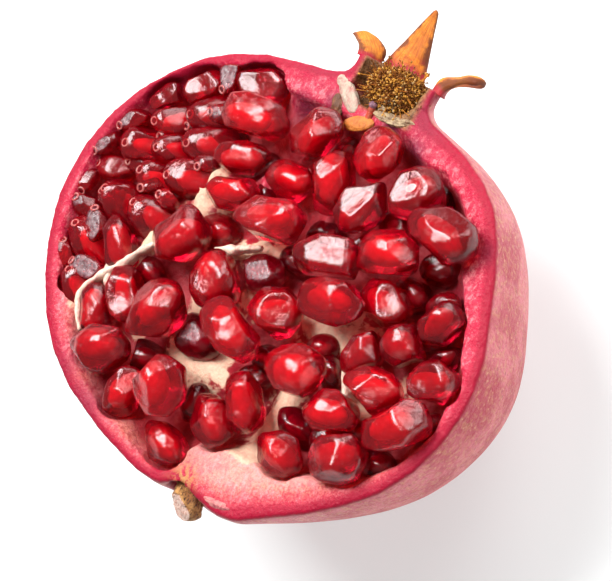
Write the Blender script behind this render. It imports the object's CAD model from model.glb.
import math

import bmesh
import bpy
from mathutils import Euler, Matrix, Vector, noise
import numpy as np


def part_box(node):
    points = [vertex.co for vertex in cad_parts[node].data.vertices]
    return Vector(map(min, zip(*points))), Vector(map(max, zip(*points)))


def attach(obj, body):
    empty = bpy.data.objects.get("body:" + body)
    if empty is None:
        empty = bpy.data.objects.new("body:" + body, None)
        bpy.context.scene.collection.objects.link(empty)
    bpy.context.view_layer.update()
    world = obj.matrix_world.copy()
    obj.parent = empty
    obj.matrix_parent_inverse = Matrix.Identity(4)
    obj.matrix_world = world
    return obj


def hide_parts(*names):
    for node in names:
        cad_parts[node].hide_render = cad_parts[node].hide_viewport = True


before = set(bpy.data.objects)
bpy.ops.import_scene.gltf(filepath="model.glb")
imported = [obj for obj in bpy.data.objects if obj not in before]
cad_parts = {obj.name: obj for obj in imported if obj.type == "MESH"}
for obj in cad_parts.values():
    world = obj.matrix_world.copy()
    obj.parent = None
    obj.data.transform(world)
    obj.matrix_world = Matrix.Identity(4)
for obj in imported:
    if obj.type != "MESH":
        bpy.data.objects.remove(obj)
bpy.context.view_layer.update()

mm = 0.001
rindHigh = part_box("rind")[1]
crownRim = 49.6  # millimetres from the fruit's middle to the crown's rim
crownAcross = 3.4  # and from the middle across to the crown's axis
# The middle of the cut face: x across, y from stem to crown, z up from the face.
cutCentre = np.array([0.0, rindHigh.y - crownRim * mm, rindHigh.z])


def place(point):
    return Vector(cutCentre + np.array(point, float) * mm)


def report(stage):
    print("scene:", stage, flush=True)


viewLook = {
    "azimuth": 90,
    "elevation": 59,
    "roll": -62,
    "distance": 2.5,
    "fieldWidth": 0.1133,  # how wide the view is at the cut face
    "aimRight": 0.00875,
    "aimUp": 0.00176,
}
# Each light: the way to it as right, up and towards the camera; distance, size, power.
lightLook = {
    "key": ((-0.75, 0.75, 0.75), 1.2, 0.7, 29.0),
    "top": ((0.25, 0.95, 0.5), 1.3, 0.8, 12.0),
    "side": ((1.0, -0.15, 0.5), 1.4, 1.2, 9.0),
}
stageLook = {
    "world": 0.26,
    "floor": (0.50, 0.54, 0.54),
    "floorHalf": 3,
    "floorGlow": 0.5,  # keeps the shadow on the floor light
}


def viewAxes():
    # The way to the camera, and what is right and up in the view.
    azimuth, elevation = math.radians(viewLook["azimuth"]), math.radians(viewLook["elevation"])
    level = math.cos(elevation)
    back = Vector((math.sin(azimuth) * level, -math.cos(azimuth) * level, math.sin(elevation)))
    right = Vector((math.cos(azimuth), math.sin(azimuth), 0))
    turn = Matrix.Rotation(math.radians(viewLook["roll"]), 3, back)
    return back, turn @ right, turn @ back.cross(right)


def addCamera():
    back, right, up = viewAxes()
    aim = Vector(cutCentre) + right * viewLook["aimRight"] + up * viewLook["aimUp"]
    data = bpy.data.cameras.new("camera")
    data.sensor_width = 36
    data.lens = data.sensor_width * viewLook["distance"] / viewLook["fieldWidth"]
    camera = linked("camera", data)
    turn = Matrix((right, up, back)).transposed().to_4x4()
    camera.matrix_world = Matrix.Translation(aim + back * viewLook["distance"]) @ turn
    bpy.context.scene.camera = camera


def addLights():
    back, right, up = viewAxes()
    for name, (way, distance, size, power) in lightLook.items():
        data = bpy.data.lights.new(name, "AREA")
        data.shape = "SQUARE"
        data.size = size
        data.energy = power
        lamp = linked(name, data)
        toLamp = (right * way[0] + up * way[1] + back * way[2]).normalized()
        lamp.location = Vector(cutCentre) + toLamp * distance
        lamp.rotation_euler = toLamp.to_track_quat("Z", "Y").to_euler()
    world = bpy.data.worlds.new("studio")
    world.use_nodes = True
    world.node_tree.nodes["Background"].inputs["Color"].default_value = (1, 1, 1, 1)
    world.node_tree.nodes["Background"].inputs["Strength"].default_value = stageLook["world"]
    bpy.context.scene.world = world
    bpy.context.scene.view_settings.view_transform = "Standard"


def addFloor():
    look = stageLook
    bm = bmesh.new()
    bmesh.ops.create_grid(bm, x_segments=1, y_segments=1, size=look["floorHalf"])
    floor = linked("floor", meshOf("floor", bm))
    paint = Paint("floor")
    floor.data.materials.append(paint.finish(
        Base_Color=look["floor"], Roughness=0.9, Emission_Color=(1, 1, 1), Emission_Strength=look["floorGlow"]
    ))


def linked(name, data):
    made = bpy.data.objects.new(name, data)
    bpy.context.scene.collection.objects.link(made)
    return made


def meshOf(name, bm):
    mesh = bpy.data.meshes.new(name)
    bm.to_mesh(mesh)
    bm.free()
    return mesh


def arrayMesh(name, points, faces):
    mesh = bpy.data.meshes.new(name)
    mesh.from_pydata(points.tolist(), [], faces)
    return mesh


def outwardMesh(name, points, faces):
    # The mesh of a closed body, with its faces turned outwards.
    bm = bmesh.new()
    bm.from_mesh(arrayMesh("shell", points, faces))
    bmesh.ops.recalc_face_normals(bm, faces=bm.faces)
    return meshOf(name, bm)


def evaluated(source):
    # The plain mesh that an object's modifiers make. The object itself goes.
    mesh = bpy.data.meshes.new_from_object(source.evaluated_get(bpy.context.evaluated_depsgraph_get()))
    bpy.data.objects.remove(source)
    return mesh


def addPiece(name, mesh, material, slot, *nodes):
    if material:
        mesh.materials.append(material)
    mesh.shade_smooth()
    piece = linked(name, mesh)
    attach(piece, "root")
    if nodes:
        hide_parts(*nodes)
    return piece


def setAttributes(piece, **masks):
    for name, values in masks.items():
        layer = piece.data.attributes.new(name, "FLOAT", "POINT")
        layer.data.foreach_set("value", np.asarray(values, np.float32))


def cadCopy(node):
    # A merged copy of a CAD node's mesh.
    bm = bmesh.new()
    bm.from_mesh(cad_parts[node].data)
    bmesh.ops.remove_doubles(bm, verts=bm.verts, dist=1e-6)
    return bm


def unit(vectors):
    return vectors / np.linalg.norm(vectors, axis=-1, keepdims=True)


def fade(values, start, end):
    # Rises evenly from 0 at start to 1 at end.
    return ((values - start) / (end - start)).clip(0, 1)


def smoothLine(corners, step=0.25, reach=20):
    # The same line in even short steps, with its corners rounded off.
    corners = np.array(corners, float)
    lengths = np.concatenate([[0], np.cumsum(np.linalg.norm(np.diff(corners, axis=0), axis=1))])
    even = np.arange(0, lengths[-1], step)
    dense = np.stack([np.interp(even, lengths, column) for column in corners.T], axis=1)
    padded = np.pad(dense, ((reach, reach), (0, 0)), "edge")
    window = np.ones(2 * reach + 1) / (2 * reach + 1)
    return np.stack([np.convolve(column, window, "valid") for column in padded.T], axis=1)


def sidesOf(runs):
    # Two ways square to each run: a level one, and the one across both.
    sides = unit(np.cross(runs, (0, 0, 1)))
    return sides, np.cross(sides, runs)


def ringFaces(rings, around):
    # The faces of a closed body whose points are rings, one after the other.
    faces = []
    for ring in range(rings - 1):
        for k in range(around):
            first, second = ring * around + k, ring * around + (k + 1) % around
            faces.append([first, second, second + around, first + around])
    last = (rings - 1) * around
    return faces + [list(range(around))[::-1], list(range(last, last + around))]


def tube(middles, sides, fronts, halfWidths, halfDepths, around, power=1.0):
    # A closed body swept along a line, with an oval cross-section.
    angles = np.linspace(0, 2 * math.pi, around, endpoint=False)
    across = np.cos(angles)
    lift = np.sign(np.sin(angles)) * np.abs(np.sin(angles)) ** power
    rings = []
    for middle, side, front, width, depth in zip(middles, sides, fronts, halfWidths, halfDepths):
        rings.append(middle + np.outer(across, side) * width + np.outer(lift, front) * depth)
    along = np.repeat(np.linspace(0, 1, len(rings)), around)
    return np.concatenate(rings), ringFaces(len(rings), around), np.tile(across, len(rings)), along


def wire(tree, source, target):
    # source is a socket, or a value for the target socket.
    if isinstance(source, bpy.types.NodeSocket):
        tree.links.new(source, target)
    elif source is not None:
        isColour = target.type == "RGBA"
        target.default_value = (*source, 1) if isColour and len(source) == 3 else source


def addNode(tree, kind, settings=None, **inputs):
    made = tree.nodes.new(kind)
    for key, value in (settings or {}).items():
        setattr(made, key, value)
    for key, value in inputs.items():
        wire(tree, value, made.inputs[key.replace("_", " ")])
    return made


def arithmetic(tree, operation, first, second):
    made = addNode(tree, "ShaderNodeMath", {"operation": operation})
    wire(tree, first, made.inputs[0])
    wire(tree, second, made.inputs[1])
    return made.outputs[0]


def remap(tree, value, low, high, toLow=0.0, toHigh=1.0):
    made = addNode(tree, "ShaderNodeMapRange", {"interpolation_type": "SMOOTHSTEP"}, Value=value)
    for key, number in (("From Min", low), ("From Max", high), ("To Min", toLow), ("To Max", toHigh)):
        wire(tree, number, made.inputs[key])
    return made.outputs["Result"]


def noiseMask(tree, where, **inputs):
    return addNode(tree, "ShaderNodeTexNoise", Vector=where, **inputs).outputs["Fac"]


socketKinds = {float: "NodeSocketFloat", int: "NodeSocketInt", tuple: "NodeSocketVector"}


def newGroup(name, treeKind, inputs, outputs):
    # inputs: each socket's value, or its kind where it has none. outputs: the kinds.
    tree = bpy.data.node_groups.new(name, treeKind)
    for label, value in inputs.items():
        kind = socketKinds.get(type(value), value)
        socket = tree.interface.new_socket(label, in_out="INPUT", socket_type=kind)
        if type(value) in socketKinds:
            socket.default_value = value
    for label, kind in outputs.items():
        tree.interface.new_socket(label, in_out="OUTPUT", socket_type=kind)
    return tree, tree.nodes.new("NodeGroupInput").outputs, tree.nodes.new("NodeGroupOutput").inputs


def patternGroup(name, inputs):
    inputs = {"Vector": (0.0, 0.0, 0.0), "Scale": 1.0, **inputs}
    return newGroup(name, "ShaderNodeTree", inputs, {"Mask": "NodeSocketFloat"})


def makeMottle():
    # Soft uneven patches.
    tree, into, out = patternGroup("mottle", {"Low": 0.35, "High": 0.65})
    cloud = noiseMask(tree, into["Vector"], Scale=into["Scale"], Detail=5.0, Roughness=0.6)
    wire(tree, remap(tree, cloud, into["Low"], into["High"]), out["Mask"])
    return tree


def makeSpeckle():
    # Small round dots, each where a cell's middle is.
    tree, into, out = patternGroup("speckle", {"Size": 0.25})
    cells = addNode(tree, "ShaderNodeTexVoronoi", Vector=into["Vector"], Scale=into["Scale"])
    edge = arithmetic(tree, "MULTIPLY", into["Size"], 0.4)
    wire(tree, remap(tree, cells.outputs["Distance"], into["Size"], edge), out["Mask"])
    return tree


def makeFibre():
    # Fine streaks along one direction of the vector that is handed in.
    tree, into, out = patternGroup("fibre", {"Squeeze": (1.0, 1.0, 1.0)})
    squeezed = addNode(tree, "ShaderNodeVectorMath", {"operation": "MULTIPLY"}, Vector=into["Vector"])
    wire(tree, into["Squeeze"], squeezed.inputs[1])
    settings = {"Detail": 4.0, "Roughness": 0.65, "Distortion": 0.3}
    wire(tree, noiseMask(tree, squeezed.outputs["Vector"], Scale=into["Scale"], **settings), out["Mask"])
    return tree


patterns = {"mottle": makeMottle(), "speckle": makeSpeckle(), "fibre": makeFibre()}


class Paint:
    # A new material, with short ways to add the nodes behind its colour.
    def __init__(self, name):
        self.material = bpy.data.materials.new(name)
        self.material.use_nodes = True
        self.tree = self.material.node_tree
        self.shader = self.tree.nodes["Principled BSDF"]
        metres = addNode(self.tree, "ShaderNodeTexCoord").outputs["Object"]
        scaling = {"operation": "SCALE"}
        scaled = addNode(self.tree, "ShaderNodeVectorMath", scaling, Vector=metres, Scale=1 / mm)
        self.millimetres = scaled.outputs["Vector"]

    def pattern(self, kind, **inputs):
        made = self.tree.nodes.new("ShaderNodeGroup")
        made.node_tree = patterns[kind]
        for key, value in {"Vector": self.millimetres, **inputs}.items():
            wire(self.tree, value, made.inputs[key])
        return made.outputs["Mask"]

    def mottle(self, scale, low, high):
        return self.pattern("mottle", Scale=scale, Low=low, High=high)

    def speckle(self, scale, size):
        return self.pattern("speckle", Scale=scale, Size=size)

    def fibre(self, scale, squeeze, **inputs):
        return self.pattern("fibre", Scale=scale, Squeeze=squeeze, **inputs)

    def cloud(self, **inputs):
        return noiseMask(self.tree, self.millimetres, **inputs)

    def attribute(self, name):
        return addNode(self.tree, "ShaderNodeAttribute", {"attribute_name": name}).outputs["Fac"]

    def times(self, first, second):
        return arithmetic(self.tree, "MULTIPLY", first, second)

    def plus(self, first, second):
        return arithmetic(self.tree, "ADD", first, second)

    def swayed(self, value, mask, amount):
        # The value, moved up and down with the mask.
        return self.plus(value, self.times(self.plus(mask, -0.5), amount))

    def remap(self, value, low, high, toLow=0.0, toHigh=1.0):
        return remap(self.tree, value, low, high, toLow, toHigh)

    def mix(self, factor, first, second):
        made = addNode(self.tree, "ShaderNodeMix", {"data_type": "RGBA"})
        for index, value in ((0, factor), (6, first), (7, second)):
            wire(self.tree, value, made.inputs[index])
        return made.outputs[2]

    def layers(self, base, *covers):
        # The base colour under others, each with its mask and how strong it is.
        for colour, mask, strength in covers:
            base = self.mix(mask if strength == 1 else self.times(mask, strength), base, colour)
        return base

    def bump(self, height, strength, distance):
        made = addNode(self.tree, "ShaderNodeBump", Height=height, Strength=strength, Distance=distance)
        wire(self.tree, made.outputs["Normal"], self.shader.inputs["Normal"])

    def finish(self, **values):
        for key, value in values.items():
            wire(self.tree, value, self.shader.inputs[key.replace("_", " ")])
        return self.material


rindLook = {
    "voxel": 0.68,
    "rimDepth": 1.4,  # how far in the cut edge is smoothed more
    "lowSwell": 0.03,  # how much wider the sides are low down
    "ripple": 0.14,  # height of the flesh's unevenness
    "skinRed": (0.46, 0.05, 0.08),
    "skinPink": (0.66, 0.17, 0.20),
    "skinGold": (0.60, 0.30, 0.14),
    "skinDot": (0.84, 0.50, 0.34),
    "skinFreckle": (0.30, 0.06, 0.04),
    "skinEdge": (0.34, 0.003, 0.026),
    "rim": (0.48, 0.006, 0.042),
    "grain": (0.38, 0.004, 0.030),
    "grainPale": (0.90, 0.40, 0.40),
    "woody": (0.48, 0.22, 0.08),
    "fleshRed": (0.46, 0.010, 0.040),
    "fleshPink": (0.62, 0.055, 0.095),
    "fleshRose": (0.54, 0.075, 0.10),
    "fleshPeach": (0.70, 0.25, 0.18),
    "fleshPale": (0.80, 0.44, 0.38),
    "streak": (0.86, 0.27, 0.29),
    "seam": (0.42, 0.010, 0.045),
    "bedRed": (0.30, 0.008, 0.018),
    "bedRose": (0.60, 0.11, 0.12),
    "pith": (0.74, 0.52, 0.36),
    "bruise": (0.16, 0.02, 0.05),
    "cup": (0.10, 0.035, 0.014),
    "cupPale": (0.34, 0.17, 0.07),
}
# The body's outline: distance from its axis, and y.
rindProfile = [
    (9.4, 49.6), (9.2, 47.0), (9.8, 45.2), (12.4, 43.9), (17.0, 43.0), (24.0, 41.3), (30.5, 38.5),
    (35.6, 35.0), (40.0, 29.8), (43.8, 24.0), (46.9, 17.0), (49.2, 10.0), (50.0, 3.5), (49.6, -2.0),
    (48.1, -8.0), (45.4, -14.5), (41.1, -21.0), (35.8, -26.2), (29.0, -31.0), (20.0, -35.4),
    (12.5, -38.3), (7.4, -39.0), (4.2, -38.0), (0.0, -36.8),
]
# Where that axis runs (y, x), and how deep the back is beside a round one (y, share).
middleLine = [
    (-39.0, 5.6), (-37.0, 3.6), (-34.0, 1.2), (-28.0, 0.6), (-18.0, 1.2), (-8.0, 0.6), (0.0, 0.0),
    (10.0, -0.8), (20.0, -1.8), (30.0, -0.8), (38.0, 0.0), (42.0, 0.6), (45.0, 3.0), (52.0, 3.4),
]
backDepth = [(-39.0, 0.86), (-25.0, 0.93), (-10.0, 1.01), (4.0, 1.07), (20.0, 1.1), (36.0, 1.05), (44.0, 1.0)]
# Where the pale walls between the chambers show: reach in millimetres, and the line each follows.
paleLines = [
    (1.5, [(-36, -17.5), (-34, -12.5), (-32, -8), (-29, -4), (-27.3, 0), (-29, 4)]),
    (1.7, [(-34, -18), (-31, -23), (-27, -26)]),
    (3.8, [(-23.5, 14.5), (-22, 10.5)]),
    (1.8, [(-15, 5), (-9, 7), (-4, 9.5)]),
    (2.8, [(-5, 4.5), (-3.5, -1)]),
    (3.6, [(11, 0), (19, 2), (24, -3), (28, -9)]),
    (3.4, [(12.5, -13), (13, -19), (12, -25)]),
    (3.6, [(-13, -15), (-8, -16.5), (-4, -15)]),
    (2.4, [(-14, -9), (-14, -5)]),
    (2.0, [(-24, -15.5), (-24, -14)]),
    (1.0, [(10, -27), (14, -27)]),
    (2.2, [(34, -1), (35, 1)]),
]
# Bruised places: x, y, reach and strength.
bruises = [
    (-12, 35.5, 3.2, 0.8), (14, 37.5, 3.4, 0.85), (-22, -30, 4.5, 0.5), (7.5, 39.6, 1.8, 1.0),
    (-6, 39, 2.4, 0.8), (35.5, 19, 2.6, 0.45), (38, 27, 2.2, 0.4), (-10, 42, 7.0, 0.22),
    (13, 43, 6.0, 0.4), (-30, -27, 4.0, 0.3), (3, -31, 2.5, 0.3),
]


def distanceToLine(points, line):
    nearest = np.full(len(points), np.inf)
    for start, end in zip(line, line[1:]):
        start, end = np.array(start, float), np.array(end, float)
        share = ((points - start) @ (end - start) / ((end - start) @ (end - start))).clip(0, 1)
        nearest = np.minimum(nearest, np.linalg.norm(points - start - share[:, None] * (end - start), axis=1))
    return nearest


def reachFromAxis(local, middle, depth):
    # Each point's reach across the axis, and its whole reach from the axis as if the body were round.
    across, height = local[:, 0] - middle, local[:, 2] / depth
    below = (-height / np.hypot(across, height).clip(1e-6)).clip(0, 1)
    return across, np.hypot(across / (1 + rindLook["lowSwell"] * below), height)


def skinDepth(local):
    # How far each point, in millimetres from the cut face's middle, lies under the skin.
    middle, depth = (np.interp(local[:, 1], *zip(*line)) for line in (middleLine, backDepth))
    radius = reachFromAxis(local, middle, depth)[1]
    return distanceToLine(np.stack([radius, local[:, 1]], axis=1), rindProfile)


def roundSkin(local, outside):
    # Moves the points of the skin onto a smooth body, so that no flat facets are left.
    middle, depth = (np.interp(local[:, 1], *smoothLine(line).T) for line in (middleLine, backDepth))
    across, radius = reachFromAxis(local, middle, depth)
    profile = smoothLine(rindProfile)
    grip = outside * fade(local[:, 2], -0.6, -2.6) * fade(local[:, 1], 42, 39) * fade(local[:, 1], -36, -33)
    moved = local.copy()
    for spot in np.nonzero(grip > 0)[0]:
        gaps = profile - (radius[spot], local[spot, 1])
        near = gaps[np.argmin((gaps**2).sum(axis=1))]
        swell = grip[spot] * near[0] / radius[spot]
        moved[spot] += (across[spot] * swell, grip[spot] * near[1], local[spot, 2] * swell)
    return moved


def rindMaterial():
    look = rindLook
    paint = Paint("rind")
    depth, ripe = paint.attribute("skinDepth"), paint.attribute("ripe")
    patches, blotches = paint.mottle(0.11, 0.38, 0.62), paint.mottle(0.32, 0.36, 0.64)
    fine = paint.mottle(1.3, 0.3, 0.7)
    veins = paint.fibre(1.3, (0.9, 0.55, 0.9))

    # Skin: red and pink with gold between, and many small pale dots.
    golden = paint.mottle(0.9, 0.46, 0.62)
    skin = paint.layers(
        paint.mix(patches, look["skinPink"], look["skinRed"]),
        (look["skinGold"], golden, 0.45),
        (look["skinRed"], paint.remap(paint.fibre(1.5, (1.3, 1.3, 0.6)), 0.5, 0.6), 0.4),
        (look["skinDot"], paint.times(paint.speckle(1.2, 0.36), paint.plus(golden, 0.3)), 0.3),
        (look["skinFreckle"], paint.speckle(0.45, 0.22), 0.5),
    )

    # Flesh: from the dark line of the cut skin through red and pink to cream, then what lies over it.
    inward = paint.swayed(depth, fine, 0.5)
    ragged = paint.swayed(inward, blotches, 1.6)
    red = paint.mix(blotches, look["fleshRed"], look["fleshPink"])
    peach = paint.mix(blotches, look["fleshPeach"], look["fleshRose"])
    bed = paint.layers(look["bedRed"], (look["bedRose"], blotches, 0.4))
    cream = paint.layers(look["pith"], (look["bedRose"], fine, 0.3))
    cup = paint.mix(fine, look["cup"], look["cupPale"])
    palest = paint.times(paint.remap(ragged, 3.4, 6.5), paint.remap(ripe, 1.0, 0.4))
    specks = paint.times(paint.speckle(1.7, 0.38), paint.remap(ragged, 6.0, 2.0))
    grain = paint.times(paint.mottle(2.0, 0.48, 0.6), paint.remap(ragged, 8.0, 1.5, 0.12, 0.6))
    woody = paint.times(paint.attribute("woody"), paint.remap(veins, 0.42, 0.52))
    torn = paint.swayed(paint.attribute("pale"), blotches, 0.5)
    colour = paint.layers(
        paint.mix(ripe, peach, red),
        (look["streak"], paint.remap(veins, 0.5, 0.6), 0.6),
        (look["seam"], paint.remap(veins, 0.47, 0.38), 0.6),
        (look["fleshPale"], palest, 0.35),
        (look["rim"], specks, 0.5),
        (look["rim"], paint.remap(ragged, 4.6, 1.4), 0.85),
        (look["grainPale"], paint.speckle(2.4, 0.3), 0.3),
        (look["skinEdge"], paint.remap(inward, 2.6, 1.2), 1),
        (look["grain"], grain, 1),
        (look["woody"], woody, 1),
        (bed, paint.attribute("low"), 1),
        (cream, paint.remap(torn, 0.35, 0.65), 1),
        (look["bruise"], paint.attribute("bruise"), 1),
        (cup, paint.attribute("cup"), 1),
        (skin, paint.attribute("outside"), 1),
    )
    ridges = paint.plus(paint.cloud(Scale=1.4, Detail=6.0, Roughness=0.62), paint.times(veins, 0.9))
    paint.bump(ridges, 0.5, 0.0006)
    return paint.finish(
        Base_Color=colour, Roughness=paint.remap(fine, 0.0, 1.0, 0.34, 0.5), Subsurface_Weight=0.12,
        Subsurface_Scale=0.001, Subsurface_Radius=(1.0, 0.3, 0.22), IOR=1.42, Specular_IOR_Level=0.3,
    )


def paintRind(rind, local, normals):
    # Where the skin, the deep bed, the pale walls, the bruises and the crown's cup are.
    depth = skinDepth(local)
    flat, along, height = local[:, :2], local[:, 1], local[:, 2]
    outward = local - (0, 3.0, 0)
    outward[:, 0] -= np.interp(along, *zip(*middleLine))
    facing = (normals * unit(outward)).sum(axis=1)
    outside = fade(facing, 0.15, 0.45) * fade(depth, 1.3, 0.8)
    outside *= fade(normals[:, 2], 0.95, 0.75) * fade(height, -0.6, -1.2)
    inside = 1 - outside
    pale = np.max([1 - distanceToLine(flat, line) / (2 * reach) for reach, line in paleLines], axis=0)
    bruised = [
        strength * np.exp(-((flat - (x, y)) ** 2).sum(axis=1) / reach**2) for x, y, reach, strength in bruises
    ]
    fromCrown = np.hypot(local[:, 0] - crownAcross, height)
    setAttributes(
        rind,
        skinDepth=depth,
        outside=outside,
        ripe=fade(along - 0.1 * local[:, 0], -26, -2),
        low=fade(height, -1.6, -4.2) * fade(depth, 2.5, 4.5) * inside,
        pale=pale.clip(0) * fade(depth, 3.5, 6.5) * inside,
        bruise=np.max(bruised, axis=0) * inside,
        woody=np.exp(-((flat - (3.8, -35)) ** 2).sum(axis=1) / 7) * inside,
        cup=fade(fromCrown, 8.2, 7.4) * fade(along, 39.8, 41.0) * inside,
    )


def localPoints(bm):
    return (np.array([vert.co for vert in bm.verts]) - cutCentre) / mm


def makeRind():
    source = linked("rindSource", meshOf("rindSource", cadCopy("rind")))
    remesh = source.modifiers.new("remesh", "REMESH")
    remesh.mode = "VOXEL"
    remesh.voxel_size = rindLook["voxel"] * mm
    bm = bmesh.new()
    bm.from_mesh(evaluated(source))
    everyAxis = {"use_axis_x": True, "use_axis_y": True, "use_axis_z": True}
    for rimOnly in (False, False, True, True, True, True):
        rim = skinDepth(localPoints(bm)) < rindLook["rimDepth"]
        chosen = [vert for vert, near in zip(bm.verts, rim) if near or not rimOnly]
        bmesh.ops.smooth_vert(bm, verts=chosen, factor=0.5 if rimOnly else 0.4, **everyAxis)
    bm.normal_update()
    local = localPoints(bm)
    normals = np.array([vert.normal for vert in bm.verts])
    depth = skinDepth(local)
    for vert, spot, inward in zip(bm.verts, roundSkin(local, fade(depth, 1.3, 0.3)), depth):
        vert.co = place(spot)
        vert.co.z = max(vert.co.z, 0)
        if inward > 1.2:
            lift = noise.noise(vert.co * 420) + 0.6 * noise.noise(vert.co * 1100)
            vert.co += vert.normal * rindLook["ripple"] * mm * lift
    rind = addPiece("rind_skin_and_pith", meshOf("rind_skin_and_pith", bm), rindMaterial(), "rind", "rind")
    paintRind(rind, local, normals)


arilLook = {
    "detail": 5,
    "crispness": 40,  # how tight the edges between its flats are
    "tightness": 400,  # how little the facets of the CAD solid melt together
    "rowTightness": 40,
    "fill": 1.08,
    "rowCount": 11,  # the first arils stand in rows, stalk ends out
    "rowSpread": 1.08,  # how much further out the flats of those lie
    "slack": 0.75,  # millimetres between a loose aril and the room that it lies in
    "sideFlats": (0.70, 0.90),  # how deep a flat lies, as a share of the reach that way
    "endFlats": (0.74, 0.90),
    "waviness": 0.10,  # millimetres
    "dark": (0.24, 0.001, 0.012),
    "bright": (0.97, 0.005, 0.022),
    "knifed": (0.62, 0.16, 0.22),
    "knifedStreak": (0.30, 0.02, 0.05),
    "knifedCore": (0.60, 0.14, 0.12),
    "seedLength": 0.62,  # of the aril
    "seedWidth": 0.42,
    "seedPale": (1.0, 0.42, 0.40),
    "seedRose": (0.92, 0.22, 0.24),
    "knifeHeight": -0.15,
}
knifeTop = cutCentre[2] + arilLook["knifeHeight"] * mm
arilNodes = sorted(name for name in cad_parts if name.startswith("aril_"))
# Arils half hidden between the others: x, y, z, heading, dip, length, width.
rowFillers = [
    (-26.6, 27.6, -2.6, 30, -30, 8.0, 4.4), (-25.0, 18.0, -2.6, 35, -34, 7.0, 4.0),
    (-33.4, 9.3, -2.6, 60, -34, 6.0, 3.6), (-28.8, 8.8, -2.6, 20, -34, 6.0, 4.5),
    (-39.4, 3.8, -2.8, -10, -30, 7.2, 5.0), (-44.2, 0.4, -2.4, 0, -30, 6.0, 4.4),
    (-39.0, -2.7, -2.0, -50, -20, 9.0, 4.8), (-43.2, -9.6, -2.2, -60, -20, 6.4, 4.0),
    (-42.8, 9.2, -4.4, 10, -20, 9.0, 6.0), (-28.8, 34.0, -2.2, 50, -10, 9.4, 6.0),
    (-43.6, 18.6, -2.4, 50, -20, 6.4, 4.8), (-46.0, 12.6, -2.0, 60, -20, 6.6, 4.0),
    (-46.4, 4.8, -2.0, 90, -20, 5.2, 3.4), (-37.4, -9.6, -1.6, 0, 0, 7.4, 5.4),
    (-36.5, 19.5, -4.5, 40, -25, 8.0, 5.0), (-31.8, 23.0, -4.6, 35, -25, 8.0, 5.0),
    (-38.0, 13.0, -4.6, 30, -25, 8.0, 5.0), (-33.0, 4.5, -4.6, 0, -25, 8.0, 5.0),
]
deepFillers = [
    (-26.0, 22.6, -4.6, 10, 0, 8.0, 5.4), (-16.0, 21.6, -4.4, 45, 0, 8.5, 6.0),
    (-17.5, 7.4, -4.6, 10, 0, 9.0, 7.4), (-5.0, 26.8, -4.2, 60, 0, 7.4, 5.6),
    (-0.6, 31.4, -4.2, 80, 0, 6.6, 5.2), (22.0, 31.8, -4.2, 90, 0, 7.4, 5.4),
    (16.4, 23.6, -5.2, 0, 0, 8.0, 7.0), (3.4, 15.8, -5.4, 60, 0, 8.0, 7.0),
    (26.6, 14.0, -3.8, 0, 0, 8.0, 7.0), (34.4, 14.8, -2.8, 30, 10, 7.2, 5.8),
    (39.4, 6.4, -3.4, 70, 0, 7.0, 4.8), (42.4, -6.6, -3.4, 60, 0, 7.6, 5.0),
    (36.6, -16.6, -4.0, 20, 0, 7.6, 5.6), (18.0, -17.6, -4.2, -20, 0, 10.0, 6.8),
    (14.6, -2.4, -4.2, 30, 0, 6.4, 5.6), (18.4, -5.8, -4.2, -45, 0, 7.0, 5.4),
    (-3.6, 4.6, -3.0, 20, 0, 9.0, 7.6), (-10.4, -11.4, -4.0, -10, 0, 10.4, 8.4),
    (5.2, -9.0, -4.4, 0, 0, 6.6, 5.8), (4.6, -13.0, -4.6, 20, 0, 7.4, 5.4),
    (-4.4, -22.4, -4.2, 90, 0, 7.4, 5.4), (-19.0, -19.8, -4.0, 20, 0, 9.4, 6.8),
    (-26.4, -5.2, -4.2, -30, 0, 8.4, 6.6), (28.6, 20.6, -5.0, 20, 0, 8.0, 6.4),
    (12.0, 17.6, -5.2, 60, 0, 7.4, 6.4), (33.6, 8.6, -4.8, 20, 0, 7.6, 6.2),
    (24.6, -16.4, -4.8, 50, 0, 7.6, 6.4), (-12.6, 17.4, -5.0, 30, 0, 7.4, 6.2),
    (31.6, -12.4, -5.0, 10, 0, 7.8, 6.4), (0.6, 9.8, -5.2, 0, 0, 7.4, 6.0),
]


def arilMaterial():
    look = arilLook
    paint = Paint("arilPulp")
    cut, core = paint.attribute("cut"), paint.attribute("core")
    wrinkle = paint.fibre(1.5, (1.0, 0.55, 1.0))
    sliced = paint.layers(
        look["knifed"],
        (look["knifedStreak"], paint.remap(paint.cloud(Scale=1.1, Detail=4.0), 0.4, 0.6), 1),
        (look["dark"], paint.remap(core, 0.62, 0.5), 1),
        (look["knifedCore"], paint.remap(core, 0.48, 0.38), 1),
    )
    colour = paint.layers(
        look["dark"],
        (look["bright"], paint.attribute("tone"), 1),
        (look["dark"], paint.mottle(0.3, 0.35, 0.65), 0.35),
        (sliced, cut, 1),
    )
    gloss = paint.plus(paint.remap(wrinkle, 0.35, 0.65, 0.03, 0.14), paint.times(cut, 0.22))
    coat = paint.plus(paint.times(cut, -0.25), 0.25)
    paint.bump(paint.plus(paint.cloud(Scale=0.5, Detail=2.0), paint.times(wrinkle, 0.4)), 0.5, 0.0005)
    return paint.finish(
        Base_Color=colour, Roughness=gloss, IOR=1.46, Transmission_Weight=0.85, Coat_Weight=coat,
        Coat_Roughness=0.03,
    )


def seedMaterial():
    paint = Paint("seed")
    colour = paint.mix(paint.mottle(0.8, 0.3, 0.7), arilLook["seedPale"], arilLook["seedRose"])
    return paint.finish(Base_Color=colour, Roughness=0.5)


def ballPattern(detail):
    # The rays and faces of a ball that an aril is blown up from.
    ball = bmesh.new()
    bmesh.ops.create_icosphere(ball, subdivisions=detail, radius=1)
    rays = np.array([vert.co for vert in ball.verts])
    faces = [[vert.index for vert in face.verts] for face in ball.faces]
    ball.free()
    return rays, faces


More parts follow.
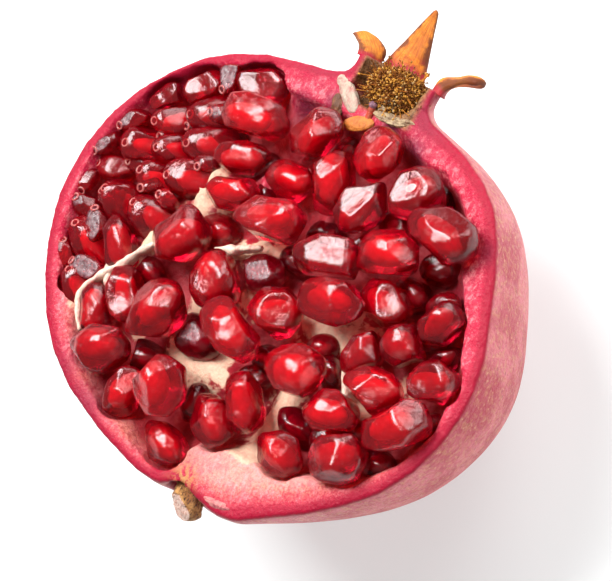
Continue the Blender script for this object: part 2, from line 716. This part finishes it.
def axesOf(heading, dip, roll):
    # The long, wide and thick ways of an aril that points this way.
    return np.array(Euler((math.radians(roll), -math.radians(dip), math.radians(heading))).to_matrix())


def gemFlats(axes, reachOf, rng):
    # Flats where neighbours pressed: some along the sides, and three at each end.
    long, wide, thick = axes.T

    def sideways(angle):
        return math.cos(angle) * wide + math.sin(angle) * thick

    count = rng.integers(4, 6)
    start = rng.uniform(0, 2 * math.pi)
    normals, shares = [], []
    for k in range(count):
        angle = start + (k + rng.uniform(-0.25, 0.25)) * 2 * math.pi / count
        normals.append(sideways(angle) + rng.uniform(-0.16, 0.16) * long)
        shares.append(rng.uniform(*arilLook["sideFlats"]))
    for end in (-1, 1):
        start = rng.uniform(0, 2 * math.pi)
        for k in range(3):
            angle = start + (k + rng.uniform(-0.3, 0.3)) * 2 * math.pi / 3
            tilt = rng.uniform(0.7, 1.1)
            normals.append(math.sin(tilt) * sideways(angle) + math.cos(tilt) * end * long)
            shares.append(rng.uniform(*arilLook["endFlats"]))
    normals = unit(np.array(normals))
    return normals, reachOf(normals) * np.array(shares)


def softened(rays, tightness):
    # Averages a reach over the rays near each ray, so that small facets melt together.
    weights = np.exp(tightness * (rays @ rays.T - 1))
    return weights / weights.sum(axis=1)[:, None]


def blowUp(centre, rays, bodyReach, normals, depths, slack=0):
    # The pulp's points: as far along each ray as its own outline and all its flats allow, a little wavy.
    power = arilLook["crispness"]
    pull = (np.maximum(rays @ normals.T, 0) / depths) ** power
    reach = (pull.sum(axis=1) + (1 / bodyReach) ** power) ** (-1 / power) * arilLook["fill"]
    points = centre + rays * (reach - slack)[:, None]
    lifts = np.array([noise.noise(Vector(point) * 0.33 / mm) for point in points])
    return points + rays * (lifts * arilLook["waviness"] * mm)[:, None]


def sideShade(rays):
    # Darker round the sides, where the pulp is seen through its whole depth.
    return 1 - 0.7 * np.exp(-((rays[:, 2] / 0.3) ** 2))


def cadAril(node):
    bm = cadCopy(node)
    bm.normal_update()
    centre = np.array(sum((vert.co for vert in bm.verts), Vector()) / len(bm.verts))
    normals = np.array([face.normal for face in bm.faces])
    depths = np.array([face.normal.dot(face.verts[0].co) for face in bm.faces]) - normals @ centre
    corners = np.array([vert.co for vert in bm.verts]) - centre
    bm.free()
    axes = np.linalg.eigh(corners.T @ corners)[1][:, ::-1]  # longest first
    if np.linalg.det(axes) < 0:
        axes[:, 2] *= -1
    return centre, axes, corners, normals, depths


def cutTop(points):
    # The knife took off what stood above its height; the rest is squashed flat there.
    over = points[:, 2] > knifeTop
    points[over, 2] = knifeTop
    return over


def makeArils():
    rng = np.random.default_rng(11)
    pulp = arilMaterial()
    rays, faces = ballPattern(arilLook["detail"])
    soft, softRow = softened(rays, arilLook["tightness"]), softened(rays, arilLook["rowTightness"])
    seeds = bmesh.new()
    bodies, scars = [], []
    for index, node in enumerate(arilNodes):
        inRow = index < arilLook["rowCount"]
        spread, slack = (arilLook["rowSpread"], 0) if inRow else (1, arilLook["slack"] * mm)
        centre, axes, corners, normals, depths = cadAril(node)
        facing = rays @ normals.T
        bodyReach = np.where(facing > 1e-4, depths / np.maximum(facing, 1e-4), np.inf).min(axis=1)
        bodyReach = (softRow if inRow else soft) @ bodyReach
        flats = gemFlats(axes, lambda ways: (ways @ corners.T).max(axis=1) * spread, rng)
        points = blowUp(centre, rays, bodyReach, *flats, slack)
        knifed = abs(corners[:, 2].max() + centre[2] - knifeTop) < 0.02 * mm
        cut = cutTop(points) if knifed else np.zeros(len(points))
        tone = rng.uniform(0.45, 1.0)
        halves = np.ptp(corners @ axes, axis=0) / 2
        inner = (points - centre) @ axes[:, :2] / (halves[:2] * 0.9)
        aril = addPiece(node + "_pulp", arrayMesh(node + "_pulp", points, faces), pulp, "aril", node)
        shade = (0.5 + tone / 2 if inRow else tone) * sideShade(rays)
        setAttributes(aril, tone=shade, cut=cut, core=np.linalg.norm(inner, axis=1))
        bodies.append((centre, corners))
        if not knifed:
            addSeed(seeds, centre, axes, halves)
        if inRow:
            stalk = axes[:, 0] * np.sign(axes[:, 0] @ (-1, -1, 0.8))
            scars.append(scarSpot(points, centre, stalk))
    makeFillers(rng, pulp, seeds, bodies, scars)
    bmesh.ops.recalc_face_normals(seeds, faces=seeds.faces)
    addPiece("seeds", meshOf("seeds", seeds), seedMaterial(), "aril")
    return scars


def scarSpot(points, centre, stalk):
    # The stalk end, turned up towards the open side, and the way that its ring faces.
    way = unit(stalk + np.array((0.35, 0.1, 0.9)))
    return points[np.argmax((points - centre) @ way)] - way * scarLook["sink"] * mm, way


def addSeed(seeds, centre, axes, halves):
    made = bmesh.ops.create_icosphere(seeds, subdivisions=3, radius=1)
    width = halves[1] * arilLook["seedWidth"]
    size = Matrix.Diagonal((halves[0] * arilLook["seedLength"], width, width, 1))
    move = Matrix.Translation(Vector(centre)) @ Matrix(axes.tolist()).to_4x4() @ size
    bmesh.ops.transform(seeds, matrix=move, verts=made["verts"])


def partingFlats(centre, halves, bodies):
    # A flat short of each neighbour that is near.
    normals, depths = [], []
    for other, corners in bodies:
        apart = other - centre
        away = np.linalg.norm(apart)
        if away > 16 * mm:
            continue
        way = apart / away
        short = away + (corners @ way).min() - 0.15 * mm
        if short < halves[0]:
            normals.append(way)
            depths.append(max(short, 0.45 * halves[1]))
    return normals, depths


def makeFillers(rng, pulp, seeds, bodies, scars):
    rays, faces = ballPattern(arilLook["detail"] - 1)
    allPoints, allFaces, tones, cuts = [], [], [], []
    for index, (x, y, z, heading, dip, length, width) in enumerate(rowFillers + deepFillers):
        inRow = index < len(rowFillers)
        centre = np.array(place((x, y, z)))
        axes = axesOf(heading, dip, rng.uniform(0, 360))
        halves = np.array([length, width, width * 0.9]) / 2 * mm
        bodyReach = 1 / np.linalg.norm(rays @ axes / halves, axis=1)
        room = axes * halves * arilLook["rowSpread"]
        normals, depths = gemFlats(axes, lambda ways: np.linalg.norm(ways @ room, axis=1), rng)
        nearNormals, nearDepths = partingFlats(centre, halves, bodies)
        normals = np.array([*normals, *nearNormals])
        depths = np.array([*depths, *nearDepths])
        points = blowUp(centre, rays, bodyReach, normals, depths)
        cuts += list(cutTop(points))
        allFaces += [[corner + index * len(rays) for corner in face] for face in faces]
        allPoints.append(points)
        tones += list((rng.uniform(0.5, 1.0) if inRow else rng.uniform(0.0, 0.5)) * sideShade(rays))
        if inRow:
            scars.append(scarSpot(points, centre, -axes[:, 0]))
        else:
            addSeed(seeds, centre, axes, halves * 0.85)
    mesh = arrayMesh("hidden_arils", np.concatenate(allPoints), allFaces)
    fillers = addPiece("hidden_arils", mesh, pulp, "aril")
    setAttributes(fillers, tone=tones, cut=cuts, core=np.ones(len(tones)))


def geometryGroup(name, inputs):
    inputs = {"Geometry": "NodeSocketGeometry", **inputs, "Material": "NodeSocketMaterial"}
    return newGroup(name, "GeometryNodeTree", inputs, {"Geometry": "NodeSocketGeometry"})


def store(tree, geometry, name, value, domain="POINT"):
    made = addNode(
        tree, "GeometryNodeStoreNamedAttribute", {"data_type": "FLOAT", "domain": domain}, Geometry=geometry,
        Name=name, Value=value,
    )
    return made.outputs["Geometry"]


def scattered(tree, points, instance, turn, **inputs):
    made = addNode(
        tree, "GeometryNodeInstanceOnPoints", Points=points, Instance=instance, Rotation=turn, **inputs
    )
    return made.outputs["Instances"]


def randomNumber(tree, low, high, seed):
    made = addNode(tree, "FunctionNodeRandomValue", {"data_type": "FLOAT"}, Seed=seed)
    made.inputs[2].default_value, made.inputs[3].default_value = low, high
    return made.outputs[1]


def swept(tree, route, profile, caps=False):
    curves = {"Curve": route.outputs["Curve"], "Profile_Curve": profile.outputs["Curve"]}
    return addNode(tree, "GeometryNodeCurveToMesh", Fill_Caps=caps, **curves).outputs["Mesh"]


def joined(tree, *parts):
    made = tree.nodes.new("GeometryNodeJoinGeometry")
    for part in parts:
        wire(tree, part, made.inputs[0])
    return made.outputs[0]


def finishGeometry(tree, into, out, instances):
    real = addNode(tree, "GeometryNodeRealizeInstances", Geometry=instances).outputs["Geometry"]
    painted = addNode(tree, "GeometryNodeSetMaterial", Geometry=real, Material=into["Material"])
    wire(tree, painted.outputs["Geometry"], out["Geometry"])
    return tree


def grow(name, mesh, group, slot, *nodes, **values):
    # The piece that a geometry node group makes of a mesh.
    source = linked(name + "Source", mesh)
    modifier = source.modifiers.new(group.name, "NODES")
    modifier.node_group = group
    for socket in group.interface.items_tree:
        if socket.in_out == "INPUT" and socket.name in values:
            modifier[socket.identifier] = values[socket.name]
    return addPiece(name, evaluated(source), None, slot, *nodes)


scarLook = {
    "ring": 0.70,
    "lip": 0.22,
    "sink": 0.26,  # how deep a ring sits in its aril
    "rose": (0.66, 0.08, 0.08),
    "pale": (0.74, 0.30, 0.28),
    "hole": (0.16, 0.002, 0.01),
}


def scarMaterial():
    look = scarLook
    paint = Paint("stalkScar")
    lip = paint.mix(paint.mottle(1.2, 0.35, 0.65), look["rose"], look["pale"])
    colour = paint.mix(paint.attribute("hole"), lip, look["hole"])
    return paint.finish(Base_Color=colour, Roughness=0.08, IOR=1.46, Transmission_Weight=0.45)


def scarGroup():
    # A small lipped ring on each point, facing along the point's own direction.
    tree, into, out = geometryGroup("stalkScars", {"Ring": 0.0008, "Lip": 0.0003})
    ring = addNode(tree, "GeometryNodeCurvePrimitiveCircle", Resolution=14, Radius=into["Ring"])
    lip = addNode(tree, "GeometryNodeCurvePrimitiveCircle", Resolution=7, Radius=into["Lip"])
    disc = addNode(tree, "GeometryNodeMeshCircle", {"fill_type": "NGON"}, Vertices=14, Radius=into["Ring"])
    torus = store(tree, swept(tree, ring, lip), "hole", 0.0)
    both = joined(tree, torus, store(tree, disc.outputs["Mesh"], "hole", 1.0))
    way = addNode(tree, "GeometryNodeInputNamedAttribute", {"data_type": "FLOAT_VECTOR"}, Name="way")
    turn = addNode(tree, "FunctionNodeAlignRotationToVector", {"axis": "Z"}, Vector=way.outputs["Attribute"])
    placed = scattered(tree, into["Geometry"], both, turn.outputs["Rotation"])
    return finishGeometry(tree, into, out, placed)


def makeScars(scars):
    points, ways = (np.array(part, float) for part in zip(*scars))
    mesh = arrayMesh("scarPoints", points, [])
    layer = mesh.attributes.new("way", "FLOAT_VECTOR", "POINT")
    layer.data.foreach_set("vector", ways.astype(np.float32).ravel())
    sizes = {"Ring": scarLook["ring"] * mm, "Lip": scarLook["lip"] * mm}
    grow("stalk_scars", mesh, scarGroup(), "aril", Material=scarMaterial(), **sizes)


sepalLook = {
    "rings": 34,
    "around": 28,
    "footHeight": 48.9,
    "radius": 8.6,
    "orange": (0.54, 0.13, 0.01),
    "gold": (0.76, 0.26, 0.025),
    "russet": (0.28, 0.05, 0.012),
    "brown": (0.11, 0.024, 0.010),
    "red": (0.34, 0.02, 0.025),
}
# Turn, half width (degrees), height, flare, narrowing, its power, twist to the open side, curl, thickness.
sepals = {
    "sepal_left": (-161, 19, 4.0, 5.2, -0.05, 1.0, 1.0, 0.4, 1.2),
    "sepal_back": (-114, 30, 14.0, 0.4, 0.9, 1.05, 0.0, 0.8, 1.3),
    "sepal_right": (-25, 19, 5.6, 7.0, 0.3, 1.3, 0.0, 0.4, 2.1),
}


def sepalMaterial():
    look = sepalLook
    paint = Paint("sepal")
    along, across = paint.attribute("along"), paint.attribute("across")
    lanes = addNode(paint.tree, "ShaderNodeCombineXYZ", X=across, Y=along).outputs["Vector"]
    fibres = paint.fibre(2.2, (5.0, 1.2, 1.0), Vector=lanes)
    patches, spots = paint.mottle(0.28, 0.42, 0.6), paint.mottle(0.9, 0.5, 0.62)
    ragged = paint.times(paint.plus(fibres, patches), 0.25)
    offMiddle = arithmetic(paint.tree, "ABSOLUTE", across, None)
    edge = paint.remap(paint.plus(offMiddle, ragged), 0.85, 1.12)
    dry = arithmetic(paint.tree, "MAXIMUM", edge, paint.remap(along, 0.88, 1.0))
    foot = paint.plus(along, paint.times(ragged, -0.3))
    colour = paint.layers(
        look["orange"],
        (look["gold"], paint.remap(fibres, 0.38, 0.6), 1),
        (look["russet"], patches, 0.45),
        (look["brown"], spots, 0.2),
        (look["brown"], dry, 0.85),
        (look["red"], paint.remap(foot, 0.14, 0.0), 1),
    )
    paint.bump(paint.plus(fibres, paint.times(spots, 0.2)), 0.5, 0.0005)
    return paint.finish(Base_Color=colour, Roughness=0.5, Specular_IOR_Level=0.25)


def makeSepals():
    look = sepalLook
    material = sepalMaterial()
    rises = np.linspace(0, 1, look["rings"])
    up = 1 - (1 - rises) ** 1.7
    blunt = np.minimum(1, 9 * (1.004 - rises)) ** 0.5
    openSide = np.array([0.97, 0.15, -0.1])
    for name, (turn, halfWidth, height, flare, narrowing, taper, twist, curl, thickness) in sepals.items():
        cosine, sine = math.cos(math.radians(turn)), math.sin(math.radians(turn))
        radii = look["radius"] + flare * rises**2
        heights = look["footHeight"] + height * up
        middles = np.column_stack([crownAcross + radii * cosine, heights, radii * sine])
        level = np.array([-sine, 0, cosine])
        sides = unit(level + np.outer(twist * rises, openSide - level))
        fronts = unit(np.cross(sides, np.gradient(middles, axis=0)))
        widths = look["radius"] * math.radians(halfWidth) * (1 - narrowing * up**taper) * blunt
        depths = thickness / 2 * (1.2 - 0.4 * rises + 0.2 * np.exp(-rises / 0.08)) * blunt**0.5
        points, faces, across, along = tube(middles, sides, fronts, widths, depths, look["around"], 0.7)
        # The lobe cups round the crown, and its edges wander and curl.
        bend = np.repeat(fronts, look["around"], axis=0)
        reach = np.repeat(widths, look["around"]) * across
        points -= bend * (0.45 * reach**2 / look["radius"])[:, None]
        wander = np.array([noise.noise(Vector(point) * 0.28) for point in points])
        points += bend * (wander * (0.5 + curl * along))[:, None]
        mesh = outwardMesh(name + "_lobe", cutCentre + points * mm, faces)
        lobe = addPiece(name + "_lobe", mesh, material, "sepal", name)
        setAttributes(lobe, across=across, along=along)


stamenLook = {
    "centre": (4.2, 45.9, -1.8),
    "core": (5.2, 3.5, 3.0),
    "filamentDensity": 1.1,  # for each square millimetre
    "antherDensity": 12.0,
    "filamentLength": 3.1,
    "antherLength": 1.15,
    "thread": ((0, 0, 0), (0.28, 0.1, 0.45), (0.04, -0.12, 1.0)),  # its bend, for a length of 1
    "brown": (0.30, 0.08, 0.008),
    "tan": (0.50, 0.19, 0.025),
    "dark": (0.15, 0.045, 0.008),
    "gold": (0.52, 0.24, 0.035),
    "grey": (0.50, 0.36, 0.18),
}


def stamenMaterial():
    look = stamenLook
    paint = Paint("stamens")
    tone = paint.attribute("tone")
    head = paint.layers(
        look["dark"],
        (look["gold"], paint.remap(tone, 0.3, 0.8), 1),
        (look["grey"], paint.times(paint.remap(tone, 0.8, 0.9), paint.mottle(0.5, 0.4, 0.65)), 1),
    )
    colour = paint.mix(paint.attribute("anther"), paint.mix(tone, look["brown"], look["tan"]), head)
    paint.bump(paint.cloud(Scale=6.0, Detail=3.0), 0.4, 0.0002)
    return paint.finish(Base_Color=colour, Roughness=0.65, Specular_IOR_Level=0.15)


def stamenGroup():
    # Bent filaments, each with a bean-shaped anther on its end, that stand on a surface.
    tree, into, out = geometryGroup("stamens", {"Density": 1e6, "Length": 0.003, "Head": 0.1, "Seed": 5})
    spread = addNode(
        tree, "GeometryNodeDistributePointsOnFaces", Mesh=into["Geometry"], Density=into["Density"],
        Seed=into["Seed"],
    ).outputs
    start, middle, end = stamenLook["thread"]
    bend = {"Start": start, "Middle": middle, "End": end}
    route = addNode(tree, "GeometryNodeCurveQuadraticBezier", Resolution=4, **bend)
    profile = addNode(tree, "GeometryNodeCurvePrimitiveCircle", Resolution=4, Radius=0.026)
    thread = swept(tree, route, profile, True)
    ball = addNode(tree, "GeometryNodeMeshIcoSphere", Radius=into["Head"], Subdivisions=1).outputs["Mesh"]
    bean = addNode(
        tree, "GeometryNodeTransform", Geometry=ball, Translation=end, Rotation=(0.4, 0.2, 0.0),
        Scale=(1.0, 0.75, 1.35),
    ).outputs["Geometry"]
    both = joined(tree, store(tree, thread, "anther", 0.0), store(tree, bean, "anther", 1.0))
    size = arithmetic(tree, "MULTIPLY", randomNumber(tree, 0.6, 1.15, 3), into["Length"])
    placed = scattered(tree, spread["Points"], both, spread["Rotation"], Scale=size)
    tilt = addNode(tree, "FunctionNodeRandomValue", {"data_type": "FLOAT_VECTOR"}, Seed=8)
    tilt.inputs[0].default_value, tilt.inputs[1].default_value = (-0.75, -0.75, -3.1), (0.75, 0.75, 3.1)
    turned = addNode(tree, "GeometryNodeRotateInstances", Instances=placed, Rotation=tilt.outputs[0])
    toned = store(tree, turned.outputs["Instances"], "tone", randomNumber(tree, 0.0, 1.0, 12), "INSTANCE")
    return finishGeometry(tree, into, out, toned)


def makeStamens():
    look = stamenLook
    material, group = stamenMaterial(), stamenGroup()
    perSquareMetre = 1e6
    bm = bmesh.new()
    oval = Matrix.Translation(place(look["centre"])) @ Matrix.Diagonal((*look["core"], 1))
    bmesh.ops.create_icosphere(bm, subdivisions=3, radius=mm, matrix=oval)
    core = meshOf("stamenCore", bm)
    for name, kind, seed, head in (("anthers", "anther", 5, 0.21), ("filaments", "filament", 9, 0.07)):
        density, length = look[kind + "Density"] * perSquareMetre, look[kind + "Length"] * mm
        values = {"Density": density, "Length": length, "Seed": seed, "Head": head, "Material": material}
        grow(name, core, group, "stamens", "stamens", **values)


# Each kind of small piece: its two colours.
bitLook = {
    "pith": ((0.46, 0.38, 0.29), (0.44, 0.16, 0.14)),
    "wall": ((0.86, 0.68, 0.52), (0.70, 0.26, 0.24)),
    "shade": ((0.10, 0.035, 0.015), (0.22, 0.08, 0.03)),
    "fold": ((0.62, 0.22, 0.20), (0.30, 0.02, 0.05)),
    "shelf": ((0.44, 0.32, 0.18), (0.14, 0.06, 0.03)),
    "flap": ((0.56, 0.17, 0.02), (0.36, 0.09, 0.015)),
}
# Small lumps by the crown and the stem: kind, centre, radii, turn about z (degrees), roughness.
crownBits = [
    ("pith", (-3.8, 41.2, -0.7), (1.7, 4.3, 1.3), 54, 0.14),
    ("pith", (-6.4, 43.3, -0.8), (1.9, 1.5, 1.1), 20, 0.16),
    ("shade", (-5.0, 38.9, -0.3), (1.2, 2.4, 0.8), 30, 0.2),
    ("fold", (12.6, -36.9, -0.2), (3.0, 0.8, 0.7), 4, 0.25),
    ("shelf", (7.2, 41.0, -0.6), (4.6, 1.1, 1.2), 10, 0.3),
    ("shelf", (4.6, 42.6, -0.6), (1.8, 1.2, 0.9), 30, 0.3),
    ("flap", (1.2, 37.5, 0.1), (3.1, 1.5, 0.6), 25, 0.1),
]
# Folds of the pale walls that stand up among the arils: half width, height, and the line of each.
wallFolds = [
    (0.85, 0.9, [(-24.7, 1.6), (-27.6, -1.8), (-29.8, -5.6), (-32.3, -8.8), (-34.6, -12.3), (-35.2, -15.1),
                 (-33.6, -18.2), (-31.3, -21.0)]),
    (1.0, 0.5, [(-33.6, -7.0), (-31.6, -9.4), (-30.4, -11.8)]),
    (0.8, 0.2, [(-14.6, 4.4), (-10.0, 6.2), (-5.0, 9.0)]),
    (0.8, 0.2, [(21.6, -2.4), (24.6, -6.2), (27.4, -10.4)]),
]
wallLook = {
    "seed": 1,
    "halfDepth": 1.6,
    "around": 20,
    "wander": 0.5,  # how far a fold's crest goes up and down
    "ruffle": 0.22,
}


def bitMaterial(kind):
    paint = Paint(kind)
    streaks = paint.fibre(1.5, (1.6, 0.4, 1.0))
    mask = paint.times(paint.mottle(0.7, 0.35, 0.65), paint.remap(streaks, 0.3, 0.6))
    paint.bump(streaks, 0.6, 0.0005)
    return paint.finish(Base_Color=paint.mix(mask, *bitLook[kind]), Roughness=0.6)


bitMaterials = {kind: bitMaterial(kind) for kind in bitLook}


def makeCrownBits():
    rng = np.random.default_rng(4)
    for number, (kind, centre, radii, turn, rough) in enumerate(crownBits):
        bm = bmesh.new()
        bmesh.ops.create_icosphere(bm, subdivisions=5, radius=1)
        shift = Vector(rng.uniform(-50, 50, 3))
        spin = Matrix.Rotation(math.radians(turn), 4, "Z")
        for vert in bm.verts:
            lift = noise.fractal(vert.co * 1.3 + shift, 0.7, 2.1, 5)
            vert.co *= 1 + rough * lift
            vert.co = place(Vector(centre) + spin @ Vector(c * r for c, r in zip(vert.co, radii)))
        name = f"crown_{kind}_{number}"
        addPiece(name, meshOf(name, bm), bitMaterials[kind], "rind")


def makeWallFolds():
    look = wallLook
    noise.seed_set(look["seed"])  # noise_vector follows it
    for number, (halfWidth, top, line) in enumerate(wallFolds):
        path = smoothLine(line, 0.2, 5)[::2]
        wander = np.array([noise.noise(Vector((*spot, number)) * 0.35) for spot in path])
        middles = np.column_stack([path, top - look["halfDepth"] + look["wander"] * wander])
        sides, fronts = sidesOf(unit(np.gradient(middles, axis=0)))
        ends = np.sin(np.linspace(0.08, math.pi - 0.08, len(path))) ** 0.4
        widths = halfWidth * ends * (1 + 0.7 * wander[::-1])
        points, faces = tube(middles, sides, fronts, widths, look["halfDepth"] * ends, look["around"])[:2]
        points += np.array([noise.noise_vector(Vector(point) * 0.8) for point in points]) * look["ruffle"]
        name = f"wall_fold_{number}"
        addPiece(name, outwardMesh(name, cutCentre + points * mm, faces), bitMaterials["wall"], "rind")


styleLook = {
    "foot": (2.3, 38.8, -0.5),
    "top": (2.5, 42.4, 0.9),
    "rings": 12,
    "radii": [(0, 0.9), (0.3, 0.74), (0.75, 0.66), (0.8, 0.86), (0.95, 0.82), (1, 0.4)],  # along the stub
    "shaft": ((0.50, 0.04, 0.02), (0.36, 0.07, 0.03)),
    "tip": ((0.26, 0.12, 0.16), (0.12, 0.05, 0.08)),
}


def styleMaterial():
    paint = Paint("style")
    patches = paint.mottle(1.4, 0.4, 0.6)
    shaft, tip = (paint.mix(patches, *styleLook[end]) for end in ("shaft", "tip"))
    paint.bump(patches, 0.4, 0.0003)
    colour = paint.mix(paint.remap(paint.attribute("along"), 0.68, 0.76), shaft, tip)
    return paint.finish(Base_Color=colour, Roughness=0.5)


def makeStyle():
    rings = styleLook["rings"]
    heights = np.linspace(0, 1, rings)
    foot, top = np.array(styleLook["foot"]), np.array(styleLook["top"])
    side, front = sidesOf(unit(top - foot))
    widths = np.interp(heights, *zip(*styleLook["radii"]))
    middles = foot + np.outer(heights, top - foot)
    points, faces, _, along = tube(middles, [side] * rings, [front] * rings, widths, widths, 16)
    mesh = outwardMesh("style_stub", cutCentre + points * mm, faces)
    setAttributes(addPiece("style_stub", mesh, styleMaterial(), "style", "style"), along=along)


stemLook = {
    "foot": (2.6, -34.4, -3.9),
    "end": (5.0, -41.2, -4.5),
    "radii": [(0.0, 2.3), (0.3, 2.5), (0.6, 3.0), (1.0, 2.9)],  # along the twig
    "slant": (-0.25, -0.72, 0.62),  # the way that the cut faces
    "cutDepth": 0.6,
    "around": 60,
    "rings": 26,
    "domeRings": 16,
    "bark": (0.34, 0.12, 0.03),
    "barkPale": (0.60, 0.29, 0.09),
    "barkDark": (0.09, 0.028, 0.010),
    "wood": (0.85, 0.60, 0.50),
    "woodDark": (0.62, 0.28, 0.20),
}


def stemMaterial():
    look = stemLook
    paint = Paint("stem")
    flakes, grains = paint.mottle(0.55, 0.4, 0.62), paint.fibre(1.4, (1.6, 0.5, 1.6))
    wood = paint.mix(paint.remap(grains, 0.4, 0.65), look["wood"], look["woodDark"])
    colour = paint.layers(
        look["bark"],
        (look["barkPale"], flakes, 1),
        (look["barkDark"], paint.remap(grains, 0.5, 0.62), 1),
        (wood, paint.attribute("wood"), 1),
    )
    paint.bump(paint.plus(grains, flakes), 0.8, 0.0007)
    return paint.finish(Base_Color=colour, Roughness=0.7)


def makeStem():
    # A short knobbly twig with a rounded end, and a slanting cut across part of that end.
    look = stemLook
    foot, end = np.array(look["foot"]), np.array(look["end"])
    run, slant = unit(end - foot), unit(np.array(look["slant"]))
    side, front = sidesOf(run)
    shares = [(share, 1.0, 0.0) for share in np.linspace(0, 1, look["rings"])]
    for ring in range(1, look["domeRings"] + 1):
        turn = ring / (look["domeRings"] + 1) * math.pi / 2
        shares.append((1.0, math.cos(turn), math.sin(turn)))
    points = []
    for share, width, rise in shares:
        radius = np.interp(share, *zip(*look["radii"]))
        middle = foot + (end - foot) * share + run * rise * radius * 0.5
        for k in range(look["around"]):
            angle = 2 * math.pi * k / look["around"]
            spot = Vector((math.cos(angle) * 2.4, share * 3.0 + rise, math.sin(angle) * 2.4))
            knob = 0.10 * noise.noise(spot) + 0.09 * noise.fractal(spot * 2.0, 0.8, 2.0, 4)
            way = side * math.cos(angle) + front * math.sin(angle)
            points.append(middle + way * radius * width * (1 + knob))
    points = np.array(points)
    past = (points - end) @ slant - look["cutDepth"]
    points -= np.outer(past.clip(0), slant) * 0.97
    mesh = outwardMesh("stem_twig", cutCentre + points * mm, ringFaces(len(shares), look["around"]))
    setAttributes(addPiece("stem_twig", mesh, stemMaterial(), "stem", "stem"), wood=fade(past, 0, 0.25))


addCamera()
addLights()
addFloor()
report("camera, light and floor")
makeRind()
report("rind")
scars = makeArils()
report("arils")
makeScars(scars)
report("stalk scars")
makeSepals()
report("sepals")
makeStamens()
makeCrownBits()
makeStyle()
makeWallFolds()
report("stamens and crown")
makeStem()
report("stem")
